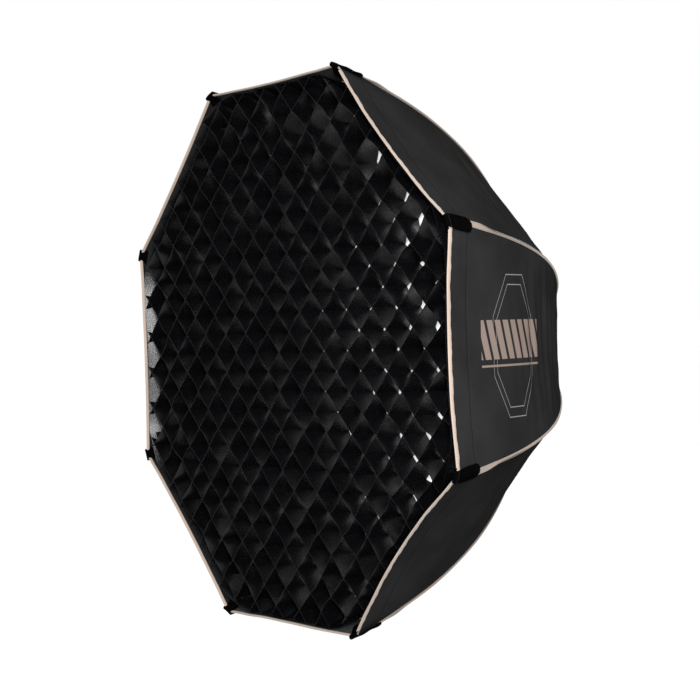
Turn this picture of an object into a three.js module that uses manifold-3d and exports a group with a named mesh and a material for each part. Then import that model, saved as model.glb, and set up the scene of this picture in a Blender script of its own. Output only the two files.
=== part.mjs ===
// A folding octagonal softbox with eight bent ribs, a fabric canopy, two diffusers, a fabric grid
// and a hub that turns on a bayonet ring.
// Units are millimetres. The origin is the centre of the bayonet ring's mounting face. +Y points
// backwards, out of the hub towards the lamp, so the softbox shines towards -Y. +Z is up.
import * as THREE from "three";
import { mergeVertices } from "three/addons/utils/BufferGeometryUtils.js";
import Module from "manifold-3d";

const wasm = await Module();
wasm.setup();

// Canopy
const SIDES = 8;
const SIDE_ANGLE = (2 * Math.PI) / SIDES;
const HALF_SIDE = SIDE_ANGLE / 2; // from a rib to the middle of a panel
const RIM_CORNER_R = 450; // 900 mm across the corners of the open rim
const RIM_Y = -505;
const RIM_ANGLE = THREE.MathUtils.degToRad(15); // between the canopy and the axis, at the rim
const HUB_ANGLE = THREE.MathUtils.degToRad(66); // the same at the hub
const RIM_PULL = 378; // how far each end's direction carries into the curve
const HUB_PULL = 121;
const FABRIC = 1.5; // outer nylon and silver lining together
const FABRIC_GAP = 0.15; // half the gap between two panel halves
const CANOPY_END_T = 0.935; // where the panels stop, short of the hub
const PANEL_STEPS = 14;

// Ribs
const PIVOT_R = 75;
const PIVOT_Y = -41;
const RIB_R = 3;
const RIB_INSET = 9; // from the seam line in to the middle of the rib
const RIB_TIP_T = 0.003;
const RIB_ROOT_T = 0.967;
const RIB_STEPS = 14;
const SOCKET_R = 5.5;
const SOCKET_BACK = 6.5; // behind the wire
const SOCKET_REACH = 34; // along the rib, from the wire
const SOCKET_BORE_R = 3.6;
const SOCKET_BORE_START = 10;
const WIRE_R = 1.8;
const WIRE_CLEARANCE = 0.4;

// Corner caps: a webbing strap folded over the rim, which holds the rib's tip
const CAP_WIDTH = 25;
const CAP_LENGTH = 55;
const CAP_INNER_LENGTH = 40;
const CAP_THICKNESS = 2;
const CAP_CLEARANCE = 0.6;
const CAP_DEPTH = 14.4; // from the seam line in to the inner leaf

// Bayonet ring, which locks onto the lamp
const BORE_R = 50;
const FLANGE_R = 72;
const FLANGE_THICKNESS = 8;
const COLLAR_R = 53;
const COLLAR_LENGTH = 12;
const LUG_R = 60;
const LUG_THICKNESS = 4;
const LUG_ANGLE = THREE.MathUtils.degToRad(36);
const LUGS = 3;
const BUSH_R = 56.5;
const BUSH_END_Y = -54;

// Hub
const HUB_R = 88;
const HUB_BORE_R = 57;
const HUB_REAR_Y = -8.4;
const HUB_PLATE_Y = -22; // front of the rear plate
const HUB_FRONT_Y = -50;
const HUB_SLEEVE_R = 63;
const POST_INNER_R = 62;
const POST_OUTER_R = 85;
const POST_WIDTH = 24;
const COVER_INNER_R = 73;
const COVER_OUTER_R = 89;
const COVER_THICKNESS = 2.5;
const GAP = 0.3;

// Screws, knob and buttons
const CROSS_Y = -15; // height of the lock screw and buttons in the rear plate
const COVER_SCREW_R = 1.5;
const COVER_SCREW_PITCH_R = 81;
const COVER_SCREW_LENGTH = 9;
const COVER_SCREW_HEAD_R = 3.2;
const COVER_SCREW_HEAD = 1.7;
const LOCK_AZIMUTH = -Math.PI / 4;
const LOCK_SCREW_R = 3;
const LOCK_SCREW_START = 57.3;
const LOCK_SCREW_END = 112;
const KNOB_START = 100;
const KNOB_LENGTH = 18;
const KNOB_R = 14;
const KNOB_CORE_R = 12;
const KNOB_LOBE_R = 4;
const KNOB_LOBES = 6;
const BUTTON_R = 5;
const BUTTON_START = 80;
const BUTTON_END = 93;
const BUTTON_TRAVEL = 4;

// Diffusers and grid: octagons, with their corners cut off clear of the ribs
const DIFFUSER_THICKNESS = 1.5;
const FRONT_DIFFUSER = { flat: 396, corner: 418, y: -452 };
const INNER_DIFFUSER = { flat: 328, corner: 344, y: -276 };
const GRID = { flat: 397, corner: 420, y: -503 };
const GRID_DEPTH = 46;
const GRID_PITCH = 85;
const GRID_STRIP = 3;
const GRID_BORDER = 6;

const ROUND = 40; // sides of a large circle
const SMALL_ROUND = 12;

const softbox = new THREE.Group();

function fabric(color) {
  return new THREE.MeshStandardMaterial({ color, roughness: 0.85, metalness: 0 });
}

function plastic(color) {
  return new THREE.MeshStandardMaterial({ color, roughness: 0.5, metalness: 0 });
}

function metal(color, roughness) {
  return new THREE.MeshStandardMaterial({ color, roughness, metalness: 1 });
}

const nylon = () => fabric(0x1f1f20);
const webbing = () => fabric(0x121213);
const diffuserCloth = () => fabric(0xf2f1ec);
const gridCloth = () => fabric(0x17171a);
const blackPlastic = () => plastic(0x1b1a19);
const fibreglass = () => plastic(0x2a2a2c);
const steel = () => metal(0x9a9a9c, 0.3);
const blackAluminium = () => metal(0x2c2c2e, 0.45);

function addMesh(parent, name, geometry, material) {
  const mesh = new THREE.Mesh(geometry, material);
  mesh.name = name;
  parent.add(mesh);
  return mesh;
}

// A group whose +X points outwards at an azimuth, measured from +X towards +Z, and whose +Z is
// the tangent there.
function spoke(azimuth) {
  const group = new THREE.Group();
  group.rotation.y = -azimuth;
  softbox.add(group);
  return group;
}

function toSolid(geometry) {
  const plain = geometry.clone();
  plain.deleteAttribute("normal");
  plain.deleteAttribute("uv");
  const merged = mergeVertices(plain, 1e-4);
  return new wasm.Manifold(
    new wasm.Mesh({
      numProp: 3,
      vertProperties: merged.attributes.position.array,
      triVerts: new Uint32Array(merged.index.array),
    }),
  );
}

function toGeometry(manifold) {
  const mesh = manifold.getMesh();
  const geometry = new THREE.BufferGeometry();
  geometry.setAttribute("position", new THREE.BufferAttribute(mesh.vertProperties, 3));
  geometry.setIndex(new THREE.BufferAttribute(mesh.triVerts, 1));
  geometry.computeVertexNormals();
  return geometry;
}

function join(geometries) {
  return toGeometry(geometries.map(toSolid).reduce((all, one) => all.add(one)));
}

function cut(geometry, tools) {
  return toGeometry(tools.map(toSolid).reduce((left, tool) => left.subtract(tool), toSolid(geometry)));
}

// A ring about the Y axis, from a rectangle of radii and heights.
function ring(innerR, outerR, lowY, highY) {
  const corners = [
    new THREE.Vector2(innerR, lowY),
    new THREE.Vector2(outerR, lowY),
    new THREE.Vector2(outerR, highY),
    new THREE.Vector2(innerR, highY),
    new THREE.Vector2(innerR, lowY),
  ];
  return new THREE.LatheGeometry(corners, ROUND);
}

// A cylinder along +X, from one radius to another, at a height in Y.
function radialPin(radius, start, end, y, sides = SMALL_ROUND) {
  const pin = new THREE.CylinderGeometry(radius, radius, end - start, sides);
  pin.rotateZ(-Math.PI / 2);
  pin.translate((start + end) / 2, y, 0);
  return pin;
}

function box(low, high) {
  const size = high.map((value, i) => value - low[i]);
  const made = new THREE.BoxGeometry(...size);
  made.translate(...low.map((value, i) => value + size[i] / 2));
  return made;
}

// The seam line over a rib, as radius and Y, from the rim to the hub. scale narrows it to the
// middle of a panel, which is nearer the axis than the ribs are.
function seamCurve(scale = 1) {
  const hubR = PIVOT_R + RIB_INSET * Math.cos(HUB_ANGLE);
  const hubY = PIVOT_Y + RIB_INSET * Math.sin(HUB_ANGLE);
  return new THREE.CubicBezierCurve(
    new THREE.Vector2(RIM_CORNER_R * scale, RIM_Y),
    new THREE.Vector2(
      (RIM_CORNER_R - RIM_PULL * Math.sin(RIM_ANGLE)) * scale,
      RIM_Y + RIM_PULL * Math.cos(RIM_ANGLE),
    ),
    new THREE.Vector2(
      (hubR + HUB_PULL * Math.sin(HUB_ANGLE)) * scale,
      hubY - HUB_PULL * Math.cos(HUB_ANGLE),
    ),
    new THREE.Vector2(hubR * scale, hubY),
  );
}

// Points along a curve, moved inwards, towards the light chamber.
function insetPoints(curve, inset, startT, endT, steps) {
  return Array.from({ length: steps + 1 }, (_, i) => {
    const t = startT + ((endT - startT) * i) / steps;
    const along = curve.getTangent(t);
    const inwards = new THREE.Vector2(-along.y, along.x);
    return curve.getPoint(t).addScaledVector(inwards, inset);
  });
}

// A shape with flat sides all round and its corners cut back to a smaller radius.
function cutOctagon({ flat, corner }) {
  const reach = Math.sqrt(corner * corner - flat * flat);
  const points = [];
  for (let side = 0; side < SIDES; side++) {
    const middle = side * SIDE_ANGLE;
    for (const across of [-reach, reach]) {
      points.push(
        new THREE.Vector2(
          flat * Math.cos(middle) - across * Math.sin(middle),
          flat * Math.sin(middle) + across * Math.cos(middle),
        ),
      );
    }
  }
  return new THREE.Shape(points);
}

// A flat plate that faces the front, from its outline and the Y of its front face.
function plate(outline, frontY, thickness) {
  const made = new THREE.ExtrudeGeometry(outline, { depth: thickness, bevelEnabled: false });
  made.rotateX(Math.PI / 2);
  made.translate(0, frontY + thickness, 0);
  return made;
}

function bayonetLug(azimuth) {
  const outline = new THREE.Shape();
  const innerR = (BORE_R + COLLAR_R) / 2; // sunk into the collar, so that the two join
  outline.absarc(0, 0, LUG_R, -LUG_ANGLE / 2, LUG_ANGLE / 2, false);
  outline.absarc(0, 0, innerR, LUG_ANGLE / 2, -LUG_ANGLE / 2, true);
  const lug = plate(outline, COLLAR_LENGTH - LUG_THICKNESS, LUG_THICKNESS);
  lug.rotateY(azimuth);
  return lug;
}

function addBayonetRing() {
  const parts = [
    ring(BORE_R, FLANGE_R, -FLANGE_THICKNESS, 0),
    ring(BORE_R, COLLAR_R, -FLANGE_THICKNESS, COLLAR_LENGTH),
    ring(BORE_R, BUSH_R, BUSH_END_Y, -FLANGE_THICKNESS / 2),
  ];
  for (let i = 0; i < LUGS; i++) parts.push(bayonetLug((i * 2 * Math.PI) / LUGS));
  addMesh(softbox, "bayonet_ring", join(parts), blackAluminium());
  const held = ring(BUSH_R + GAP, HUB_SLEEVE_R, BUSH_END_Y + GAP, HUB_FRONT_Y - GAP);
  addMesh(softbox, "retaining_ring", held, steel());
}

// The hinge wire runs round the hub as eight straight stretches, one through each rib socket.
function wireRing(radius) {
  const made = new THREE.TorusGeometry(PIVOT_R / Math.cos(HALF_SIDE), radius, 8, SIDES);
  made.rotateX(Math.PI / 2);
  made.translate(0, PIVOT_Y, 0);
  return made;
}

const coverScrewAzimuths = [0, 1, 2, 3].map((i) => HALF_SIDE + SIDE_ANGLE + (i * Math.PI) / 2);

// A post between two ribs, which holds the hinge wire.
function hubPost(azimuth) {
  const post = box(
    [POST_INNER_R, HUB_FRONT_Y, -POST_WIDTH / 2],
    [POST_OUTER_R, HUB_PLATE_Y + 1, POST_WIDTH / 2],
  );
  post.rotateY(-azimuth);
  return post;
}

function screwHole(azimuth) {
  const hole = new THREE.CylinderGeometry(
    COVER_SCREW_R + GAP,
    COVER_SCREW_R + GAP,
    2 * COVER_SCREW_LENGTH,
    SMALL_ROUND,
  );
  hole.translate(COVER_SCREW_PITCH_R, HUB_REAR_Y, 0);
  hole.rotateY(-azimuth);
  return hole;
}

function addHub() {
  const parts = [
    ring(HUB_BORE_R, HUB_R, HUB_PLATE_Y, HUB_REAR_Y),
    ring(HUB_BORE_R, HUB_SLEEVE_R, HUB_FRONT_Y, HUB_PLATE_Y + 1),
  ];
  for (let i = 0; i < SIDES; i++) parts.push(hubPost(i * SIDE_ANGLE));
  const lockHole = radialPin(LOCK_SCREW_R + GAP, HUB_BORE_R - 2, HUB_R + 2, CROSS_Y);
  lockHole.rotateY(-LOCK_AZIMUTH);
  const pocketStart = BUTTON_START - BUTTON_TRAVEL - 1;
  const holes = [wireRing(WIRE_R + WIRE_CLEARANCE), lockHole];
  holes.push(radialPin(BUTTON_R + GAP, pocketStart, HUB_R + 2, CROSS_Y));
  holes.push(radialPin(BUTTON_R + GAP, -HUB_R - 2, -pocketStart, CROSS_Y));
  coverScrewAzimuths.forEach((azimuth) => holes.push(screwHole(azimuth)));
  addMesh(softbox, "hub_body", cut(join(parts), holes), blackPlastic());

  const cover = ring(
    COVER_INNER_R,
    COVER_OUTER_R,
    HUB_REAR_Y + GAP,
    HUB_REAR_Y + GAP + COVER_THICKNESS,
  );
  addMesh(
    softbox,
    "hub_rear_cover",
    cut(cover, coverScrewAzimuths.map(screwHole)),
    blackPlastic(),
  );
  addMesh(softbox, "hinge_wire", wireRing(WIRE_R), steel());
}

function addCoverScrew(azimuth, number) {
  const headY = HUB_REAR_Y + GAP + COVER_THICKNESS + GAP;
  const profile = [
    new THREE.Vector2(0, headY - COVER_SCREW_LENGTH),
    new THREE.Vector2(COVER_SCREW_R, headY - COVER_SCREW_LENGTH),
    new THREE.Vector2(COVER_SCREW_R, headY),
    new THREE.Vector2(COVER_SCREW_HEAD_R, headY),
    new THREE.Vector2(COVER_SCREW_HEAD_R, headY + COVER_SCREW_HEAD / 2),
    new THREE.Vector2(COVER_SCREW_HEAD_R * 0.7, headY + COVER_SCREW_HEAD),
    new THREE.Vector2(0, headY + COVER_SCREW_HEAD),
  ];
  const screw = new THREE.LatheGeometry(profile, SMALL_ROUND);
  const mesh = addMesh(spoke(azimuth), "cover_screw_" + number, screw, steel());
  mesh.position.x = COVER_SCREW_PITCH_R;
}

function addRotationLock() {
  const group = spoke(LOCK_AZIMUTH);
  const screw = radialPin(LOCK_SCREW_R, LOCK_SCREW_START, LOCK_SCREW_END, CROSS_Y);
  addMesh(group, "lock_screw", screw, steel());
  const knobEnd = KNOB_START + KNOB_LENGTH;
  const lobes = Array.from({ length: KNOB_LOBES }, (_, i) => {
    const lobe = radialPin(KNOB_LOBE_R, KNOB_START, knobEnd, KNOB_R - KNOB_LOBE_R, 8);
    lobe.rotateX((i * 2 * Math.PI) / KNOB_LOBES);
    lobe.translate(0, CROSS_Y, 0);
    return lobe;
  });
  const core = radialPin(KNOB_CORE_R, KNOB_START, knobEnd, CROSS_Y, 24);
  const bore = radialPin(LOCK_SCREW_R + GAP, KNOB_START - 1, LOCK_SCREW_END + GAP, CROSS_Y);
  addMesh(group, "rotation_lock_knob", cut(join([core, ...lobes]), [bore]), blackPlastic());
}

function addReleaseButton(azimuth, name) {
  const button = radialPin(BUTTON_R, BUTTON_START, BUTTON_END, CROSS_Y);
  addMesh(spoke(azimuth), name, button, blackPlastic());
}

// The fabric collar closes the canopy's rear round the hub.
function addRearCollar() {
  const profile = [
    new THREE.Vector2(88.6, -24.5),
    new THREE.Vector2(104, -38),
    new THREE.Vector2(104, -36.2),
    new THREE.Vector2(88.6, -22.6),
    new THREE.Vector2(88.6, -24.5),
  ];
  addMesh(softbox, "rear_collar", new THREE.LatheGeometry(profile, ROUND), nylon());
}

function ribGeometry() {
  const middle = insetPoints(seamCurve(), RIB_INSET, RIB_TIP_T, RIB_ROOT_T, RIB_STEPS);
  const path = new THREE.CatmullRomCurve3(middle.map((p) => new THREE.Vector3(p.x, p.y, 0)));
  const section = new THREE.Shape().absarc(0, 0, RIB_R, 0, 2 * Math.PI);
  return new THREE.ExtrudeGeometry(section, {
    extrudePath: path,
    steps: RIB_STEPS,
    curveSegments: 4,
    bevelEnabled: false,
  });
}

// A socket lies along +X from the wire, then turns to the rib's direction at the hub.
function socketGeometry() {
  const body = radialPin(SOCKET_R, -SOCKET_BACK, SOCKET_REACH, 0);
  const bore = radialPin(SOCKET_BORE_R, SOCKET_BORE_START, SOCKET_REACH + 1, 0);
  const eye = new THREE.CylinderGeometry(
    WIRE_R + WIRE_CLEARANCE,
    WIRE_R + WIRE_CLEARANCE,
    4 * SOCKET_R,
    SMALL_ROUND,
  );
  eye.rotateX(Math.PI / 2);
  return cut(body, [bore, eye]);
}

// The cap's section, drawn with the rim's corner at the origin, x outwards and y back along the
// canopy.
function capGeometry() {
  const outer = CAP_CLEARANCE + CAP_THICKNESS;
  const inner = -CAP_DEPTH;
  const section = new THREE.Shape([
    new THREE.Vector2(outer, CAP_LENGTH),
    new THREE.Vector2(CAP_CLEARANCE, CAP_LENGTH),
    new THREE.Vector2(CAP_CLEARANCE, -CAP_CLEARANCE),
    new THREE.Vector2(inner, -CAP_CLEARANCE),
    new THREE.Vector2(inner, CAP_INNER_LENGTH),
    new THREE.Vector2(inner - CAP_THICKNESS, CAP_INNER_LENGTH),
    new THREE.Vector2(inner - CAP_THICKNESS, -CAP_CLEARANCE),
    new THREE.Vector2(inner, -outer),
    new THREE.Vector2(CAP_CLEARANCE, -outer),
    new THREE.Vector2(outer, -CAP_CLEARANCE),
  ]);
  const cap = new THREE.ExtrudeGeometry(section, { depth: CAP_WIDTH, bevelEnabled: false });
  cap.translate(0, 0, -CAP_WIDTH / 2);
  return cap;
}

function addRib(number) {
  const group = spoke(HALF_SIDE + (number - 1) * SIDE_ANGLE);
  addMesh(group, "rib_" + number, ribGeometry(), fibreglass());
  const socket = addMesh(group, "rib_socket_" + number, socketGeometry(), blackPlastic());
  socket.position.set(PIVOT_R, PIVOT_Y, 0);
  socket.rotation.z = HUB_ANGLE - Math.PI / 2;
  const cap = addMesh(group, "corner_cap_" + number, capGeometry(), webbing());
  cap.position.set(RIM_CORNER_R, RIM_Y, 0);
  cap.rotation.z = RIM_ANGLE;
}

// Half of a canopy panel: a curved strip, cut off at the rib. side is 1 or -1 along the tangent.
function halfPanelGeometry(side) {
  const curve = seamCurve(Math.cos(HALF_SIDE));
  const outside = insetPoints(curve, 0, 0, CANOPY_END_T, PANEL_STEPS);
  const inside = insetPoints(curve, FABRIC, 0, CANOPY_END_T, PANEL_STEPS);
  const section = new THREE.Shape([...outside, ...inside.reverse()]);
  const width = RIM_CORNER_R * Math.sin(HALF_SIDE) + 2;
  const strip = new THREE.ExtrudeGeometry(section, { depth: width, bevelEnabled: false });
  strip.translate(0, 0, side > 0 ? FABRIC_GAP : -FABRIC_GAP - width);
  const beyondRib = new THREE.BoxGeometry(3 * RIM_CORNER_R, 3 * RIM_CORNER_R, RIM_CORNER_R);
  beyondRib.translate(0, 0, side * (RIM_CORNER_R / 2 - FABRIC_GAP));
  beyondRib.rotateY(-side * HALF_SIDE);
  return cut(strip, [beyondRib]);
}

// Each panel is two halves that meet halfway between two ribs. Half a follows rib n, and half b
// follows the next rib round.
function addPanel(number) {
  const next = (number % SIDES) + 1;
  const group = spoke(number * SIDE_ANGLE);
  addMesh(group, "panel_" + number + "_a", halfPanelGeometry(-1), nylon());
  addMesh(group, "panel_" + next + "_b", halfPanelGeometry(1), nylon());
}

function addDiffuser(name, size) {
  addMesh(softbox, name, plate(cutOctagon(size), size.y, DIFFUSER_THICKNESS), diffuserCloth());
}

// The grid: strips both ways at 45 degrees, inside a border band.
function addGrid() {
  const inside = { flat: GRID.flat - GRID_BORDER, corner: GRID.corner - GRID_BORDER };
  const whole = toSolid(plate(cutOctagon(GRID), GRID.y, GRID_DEPTH));
  const middle = toSolid(plate(cutOctagon(inside), GRID.y - 1, GRID_DEPTH + 2));
  let strips = null;
  const count = Math.floor(GRID.corner / GRID_PITCH);
  for (let i = -count; i <= count; i++) {
    for (const turn of [-1, 1]) {
      const strip = new THREE.BoxGeometry(3 * GRID.corner, GRID_DEPTH, GRID_STRIP);
      strip.translate(0, GRID.y + GRID_DEPTH / 2, i * GRID_PITCH);
      strip.rotateY((turn * Math.PI) / 4);
      strips = strips ? strips.add(toSolid(strip)) : toSolid(strip);
    }
  }
  const grid = whole.subtract(middle).add(strips.intersect(whole));
  addMesh(softbox, "grid", toGeometry(grid), gridCloth());
}

addBayonetRing();
addHub();
coverScrewAzimuths.forEach((azimuth, i) => addCoverScrew(azimuth, i + 1));
addRotationLock();
addReleaseButton(0, "release_button_left");
addReleaseButton(Math.PI, "release_button_right");
addRearCollar();
for (let number = 1; number <= SIDES; number++) {
  addRib(number);
  addPanel(number);
}
addDiffuser("front_diffuser", FRONT_DIFFUSER);
addDiffuser("inner_diffuser", INNER_DIFFUSER);
addGrid();

export default softbox;
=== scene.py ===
"""Looks for a folding octagonal softbox, 900 mm across its corners: pleating nylon canopy with bound
seams, webbing corner caps, fabric egg-crate grid, two diffusers, bent ribs and a rotating hub.

Metres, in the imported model's frame: +Y points backwards to the lamp, the front faces -Y, +Z is up.
"""

import math
import random

import bpy
import numpy as np
from mathutils import Matrix, Vector


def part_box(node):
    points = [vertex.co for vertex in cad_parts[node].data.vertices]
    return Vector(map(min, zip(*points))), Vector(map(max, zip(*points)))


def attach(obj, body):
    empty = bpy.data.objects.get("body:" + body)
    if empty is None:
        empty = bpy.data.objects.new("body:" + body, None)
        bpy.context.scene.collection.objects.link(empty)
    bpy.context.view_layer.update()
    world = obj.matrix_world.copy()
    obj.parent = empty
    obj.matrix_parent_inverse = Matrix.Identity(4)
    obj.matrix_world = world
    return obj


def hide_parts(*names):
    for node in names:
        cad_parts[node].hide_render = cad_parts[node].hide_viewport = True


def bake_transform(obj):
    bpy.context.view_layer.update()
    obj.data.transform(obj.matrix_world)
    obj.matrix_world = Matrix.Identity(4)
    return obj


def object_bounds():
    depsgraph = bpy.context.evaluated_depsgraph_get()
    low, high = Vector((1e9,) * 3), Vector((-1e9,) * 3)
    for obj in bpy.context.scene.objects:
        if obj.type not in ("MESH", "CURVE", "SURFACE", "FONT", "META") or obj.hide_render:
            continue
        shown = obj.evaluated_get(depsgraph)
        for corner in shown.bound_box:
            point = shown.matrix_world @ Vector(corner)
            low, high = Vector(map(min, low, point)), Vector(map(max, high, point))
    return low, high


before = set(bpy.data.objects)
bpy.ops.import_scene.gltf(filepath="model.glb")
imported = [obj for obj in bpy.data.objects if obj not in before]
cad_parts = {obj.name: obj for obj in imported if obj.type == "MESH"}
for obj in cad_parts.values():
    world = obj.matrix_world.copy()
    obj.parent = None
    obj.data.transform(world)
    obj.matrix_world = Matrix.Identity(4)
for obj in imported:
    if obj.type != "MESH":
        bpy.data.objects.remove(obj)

CAD_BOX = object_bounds()

# ---- driving dimensions
SIDES = 8
HALF_SIDE = math.pi / SIDES  # from a rib to the middle of a panel
RIM_R = 0.450
RIM_Y = -0.505
RIM_ANGLE = math.radians(15)
HUB_ANGLE = math.radians(66)
RIM_PULL = 0.378
HUB_PULL = 0.121
PIVOT_R = 0.075
PIVOT_Y = -0.041
RIB_INSET = 0.009
CANOPY_END_T = 0.935
CLOTH = 0.0011  # nylon and lining together
LIP = 0.050  # from the rim back to the stitched line

CAP_WIDTH = 0.0225
CAP_LENGTH = 0.053
CAP_INNER_LENGTH = 0.040
CAP_DEPTH = 0.0140
CAP_NOSE_DEPTH = 0.0052
WEBBING = 0.0016

GRID_PITCH = 0.0425
SHARP_ANGLE = math.radians(38)
GRID_STEPS = 6  # mesh steps from one crossing to the next


# ---- mesh helpers
def add_object(name, data):
    made = bpy.data.objects.new(name, data)
    bpy.context.scene.collection.objects.link(made)
    return made


def make_object(name, verts, faces, materials, face_slots=None, uvs=None):
    """A mesh object from vertices, faces and, for each vertex, a flat position in metres as its UV."""
    mesh = bpy.data.meshes.new(name)
    mesh.from_pydata([tuple(v) for v in verts], [], [tuple(f) for f in faces])
    for material in materials:
        mesh.materials.append(material)
    if face_slots is not None:
        mesh.polygons.foreach_set("material_index", np.array(face_slots, np.int32))
    if uvs is not None:
        layer = mesh.uv_layers.new(name="flat")
        loops = np.zeros(len(mesh.loops), np.int32)
        mesh.loops.foreach_get("vertex_index", loops)
        layer.data.foreach_set("uv", np.array(uvs, np.float32)[loops].ravel())
    mesh.polygons.foreach_set("use_smooth", np.full(len(mesh.polygons), True))
    mesh.validate()
    mesh.update()
    mesh.set_sharp_from_angle(angle=SHARP_ANGLE)
    return add_object(name, mesh)


def quads(rows, cols, first=0, wrap_rows=False, wrap_cols=False, flip=False):
    """Faces over a rows by cols block of vertices."""
    made = []
    for i in range(rows if wrap_rows else rows - 1):
        for j in range(cols if wrap_cols else cols - 1):
            i2 = (i + 1) % rows
            j2 = (j + 1) % cols
            face = [first + i * cols + j, first + i2 * cols + j]
            face += [first + i2 * cols + j2, first + i * cols + j2]
            made.append(face[::-1] if flip else face)
    return made


def slab(outer, inner, uv, slot_of=lambda i, j, inside: 0):
    """A closed thin sheet between two matching blocks of points. Returns verts, faces, slots, uvs."""
    rows, cols = outer.shape[:2]
    verts = np.concatenate([outer.reshape(-1, 3), inner.reshape(-1, 3)])
    uvs = np.concatenate([uv.reshape(-1, 2), uv.reshape(-1, 2)])
    back = rows * cols
    faces = quads(rows, cols) + quads(rows, cols, back, flip=True)
    cells = [(i, j) for i in range(rows - 1) for j in range(cols - 1)]
    slots = [slot_of(i, j, inside) for inside in (False, True) for i, j in cells]
    border = [(i, 0) for i in range(rows)] + [(rows - 1, j) for j in range(1, cols)]
    border += [(i, cols - 1) for i in range(rows - 2, -1, -1)]
    border += [(0, j) for j in range(cols - 2, 0, -1)]
    for n, (i, j) in enumerate(border):
        k, m = border[(n + 1) % len(border)]
        a, b = i * cols + j, k * cols + m
        faces.append([b, a, a + back, b + back])
        slots.append(slot_of(min(i, rows - 2), min(j, cols - 2), False))
    return verts, faces, slots, uvs


def outward(verts, faces):
    """The faces, all turned round if the closed mesh is inside out."""
    v = np.asarray(verts)
    total = 0.0
    for f in faces:
        for n in range(1, len(f) - 1):
            total += np.dot(v[f[0]], np.cross(v[f[n]], v[f[n + 1]]))
    return [f[::-1] for f in faces] if total < 0 else faces


def slab_object(name, outer, inner, uv, materials, slot_of=lambda i, j, inside: 0):
    verts, faces, slots, uvs = slab(outer, inner, uv, slot_of)
    return make_object(name, verts, outward(verts, faces), materials, slots, uvs)


def sweep_object(name, sections, materials, closed_path=False, slot_of=None):
    """A solid through closed sections, an array of stations by points by xyz.

    Its UV is metres along and metres round the section.
    """
    stations, points = sections.shape[:2]
    verts = sections.reshape(-1, 3)
    faces = quads(stations, points, wrap_rows=closed_path, wrap_cols=True)
    if not closed_path:
        faces.append(list(range(points)))
        faces.append(list(range(stations * points - 1, (stations - 1) * points - 1, -1)))
    along = np.r_[0, np.cumsum(np.linalg.norm(np.diff(sections.mean(1), axis=0), axis=1))]
    ring = np.roll(sections[0], -1, 0) - sections[0]
    round_ = np.r_[0, np.cumsum(np.linalg.norm(ring, axis=1))[:-1]]
    uvs = np.stack(np.meshgrid(along, round_, indexing="ij"), -1).reshape(-1, 2)
    slots = None
    if slot_of:
        slots = [slot_of(n % points) for n in range(len(faces))]
    return make_object(name, verts, outward(verts, faces), materials, slots, uvs)


def joined(name, parts):
    """One object from several, keeping their materials."""
    with bpy.context.temp_override(
        active_object=parts[0], object=parts[0], selected_editable_objects=parts, selected_objects=parts
    ):
        bpy.ops.object.join()
    parts[0].name = name
    parts[0].data.name = name
    return parts[0]


def around(count):
    """Evenly spaced angles all the way round."""
    return np.linspace(0, 2 * math.pi, count, endpoint=False)


def tube(centre, a, b, radius, count):
    """Round sections at a line of centres, in the plane of two directions at right angles."""
    turn = around(count)[:, None]
    centre, a, b = [v[:, None] for v in np.broadcast_arrays(centre, a, b)]
    return centre + np.reshape(radius, (-1, 1, 1)) * (a * np.cos(turn) + b * np.sin(turn))


def unit(v):
    v = np.asarray(v, float)
    return v / np.linalg.norm(v, axis=-1, keepdims=True)


def smooth_step(u):
    """0 below 0, 1 above 1 and smooth between."""
    u = np.clip(u, 0, 1)
    return u * u * (3 - 2 * u)


def spoke(azimuth):
    """The outward and tangent directions at an azimuth, measured from +X towards +Z."""
    outwards = np.array([math.cos(azimuth), 0.0, math.sin(azimuth)])
    tangent = np.array([-math.sin(azimuth), 0.0, math.cos(azimuth)])
    return outwards, tangent


BACK = np.array([0.0, 1.0, 0.0])


def in_plane(v, outwards):
    """Points or directions in space from pairs: outwards along a spoke, and back."""
    return v[..., :1] * outwards + v[..., 1:] * BACK


def rib_azimuth(number):
    return HALF_SIDE + (number - 1) * 2 * HALF_SIDE


# ---- the canopy's curve
def seam_points(t):
    """Radius and Y of the seam line over a rib, from the rim at t 0 to the hub at t 1."""
    t = np.asarray(t, float)[..., None]
    hub = np.array(
        [PIVOT_R + RIB_INSET * math.cos(HUB_ANGLE), PIVOT_Y + RIB_INSET * math.sin(HUB_ANGLE)]
    )
    rim = np.array([RIM_R, RIM_Y])
    a = rim + RIM_PULL * np.array([-math.sin(RIM_ANGLE), math.cos(RIM_ANGLE)])
    b = hub + HUB_PULL * np.array([math.sin(HUB_ANGLE), -math.cos(HUB_ANGLE)])
    return (1 - t) ** 3 * rim + 3 * (1 - t) ** 2 * t * a + 3 * (1 - t) * t**2 * b + t**3 * hub


class Profile:
    """The seam curve, or its projection halfway between two ribs, measured along its length."""

    def __init__(self, scale):
        self.t = np.linspace(0, 1, 3001)
        self.points = seam_points(self.t) * [scale, 1]
        steps = np.linalg.norm(np.diff(self.points, axis=0), axis=1)
        self.s = np.r_[0, np.cumsum(steps)]
        self.end = float(np.interp(CANOPY_END_T, self.t, self.s))

    def place(self, s):
        """Radius and Y at lengths s from the rim."""
        return np.stack([np.interp(s, self.s, self.points[:, k]) for k in (0, 1)], -1)

    def at(self, s):
        """(radius and Y, outward normal, direction towards the hub) at lengths s from the rim."""
        s = np.asarray(s, float)
        along = unit(self.place(s + 1e-3) - self.place(s - 1e-3))
        normal = np.stack([along[..., 1], -along[..., 0]], -1)
        return self.place(s), normal, along


RIB_LINE = Profile(1.0)
PANEL_LINE = Profile(math.cos(HALF_SIDE))


# ---- how the cloth hangs
# How far the middle of each panel's rim is pulled in, from the panel at azimuth 0 round.
RIM_BOWS = [0.009, 0.010, 0.004, 0.008, 0.009, 0.008, 0.000, 0.013]
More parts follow.
